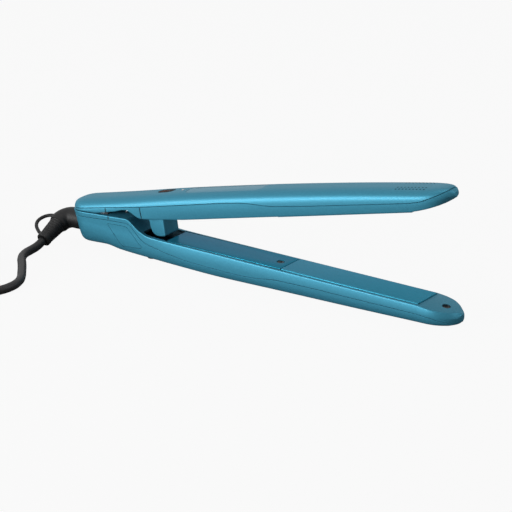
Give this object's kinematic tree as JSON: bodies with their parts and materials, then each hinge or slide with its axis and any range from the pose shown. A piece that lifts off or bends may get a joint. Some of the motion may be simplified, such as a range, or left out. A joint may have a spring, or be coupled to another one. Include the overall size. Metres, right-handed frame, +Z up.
{
  "type": "hair straightener",
  "caption": "Hair straightener: hinged arms with facing heater plates, guide post, power button, swivelling cord outlet with hang loop, tied cord and plug.",
  "frame": {"origin": "middle of the lower arm's flat underside, on the surface that it rests on", "axes": "+X along the lower arm towards the tip, +Z up from the surface, +Y across the arms, with the cord's elbow turned towards -Y"},
  "size_m": [0.5237, 0.178, 0.1032],
  "materials": {
    "shell_teal": "glossy pearl lacquer over moulded nylon",
    "trim_teal": "satin to glossy moulded plastic",
    "plate_coat": "smooth satin ceramic coating on extruded aluminium",
    "carrier_black": "heat-resistant moulded plastic",
    "ceramic": null,
    "steel": "plain bright steel",
    "silicone": "red silicone",
    "epoxy": "glazed bead",
    "rubber_black": "matte soft-touch rubber",
    "nylon_black": "glass-filled nylon",
    "contact_brass": "bright contact metal",
    "board_green": "solder-masked circuit board",
    "button_brown": "glossy tinted plastic lit from behind",
    "light_clear": "clear moulded plastic",
    "cord_black": "satin flexible sheath",
    "tie_black": "hook and loop strap",
    "blade_metal": "nickel-plated brass"
  },
  "bodies": {
    "lower_arm": {"lower_shell": "shell_teal", "lower_housing": "shell_teal", "lower_deck": "trim_teal", "lower_plate": "plate_coat", "lower_carrier": "carrier_black", "lower_heater": "ceramic", "lower_clip": "steel", "lower_cushions": "silicone", "lower_sensor": "epoxy", "lower_screws": "steel", "side_panels": "trim_teal", "rest_foot": "rubber_black", "hinge_lugs": "nylon_black", "hinge_pin": "steel", "opening_spring": "steel", "swivel_socket": "nylon_black", "contact_blades": "contact_brass", "cord": "cord_black", "cord_hank": "cord_black", "cord_tie": "tie_black", "plug_body": "cord_black", "plug_blades": "blade_metal"},
    "upper_arm": {"upper_shell": "shell_teal", "upper_housing": "shell_teal", "upper_deck": "trim_teal", "upper_plate": "plate_coat", "upper_carrier": "carrier_black", "upper_heater": "ceramic", "upper_clip": "steel", "upper_cushions": "silicone", "upper_sensor": "epoxy", "upper_screws": "steel", "hinge_knuckle": "nylon_black", "guide_post": "shell_teal", "control_board": "board_green", "board_switch": "steel", "light_pipe": "light_clear"},
    "button": {"power_button": "button_brown"},
    "cord_elbow": {"swivel_elbow": "rubber_black", "contact_rings": "contact_brass", "retainer": "steel", "strain_relief": "rubber_black", "hang_loop": "rubber_black"}
  },
  "joints": [
    {"name": "jaw_hinge", "type": "hinge", "parent": "lower_arm", "child": "upper_arm", "pos_m": [-0.20416, 0, 0.03286], "axis": [0, 1, 0], "range_deg": [0, 13.3], "stiffness_Nm_per_rad": 1, "springref_deg": -20.05, "deforming": ["opening_spring"]},
    {"name": "button_press", "type": "slide", "parent": "upper_arm", "child": "button", "axis": [0.2028, 0, -0.9792], "range_m": [0, 0.0008], "stiffness_N_per_m": 600, "springref_m": -0.001},
    {"name": "cord_swivel", "type": "hinge", "parent": "lower_arm", "child": "cord_elbow", "pos_m": [-0.23557, 0, 0.01873], "axis": [1, 0, 0], "continuous": true}
  ]
}
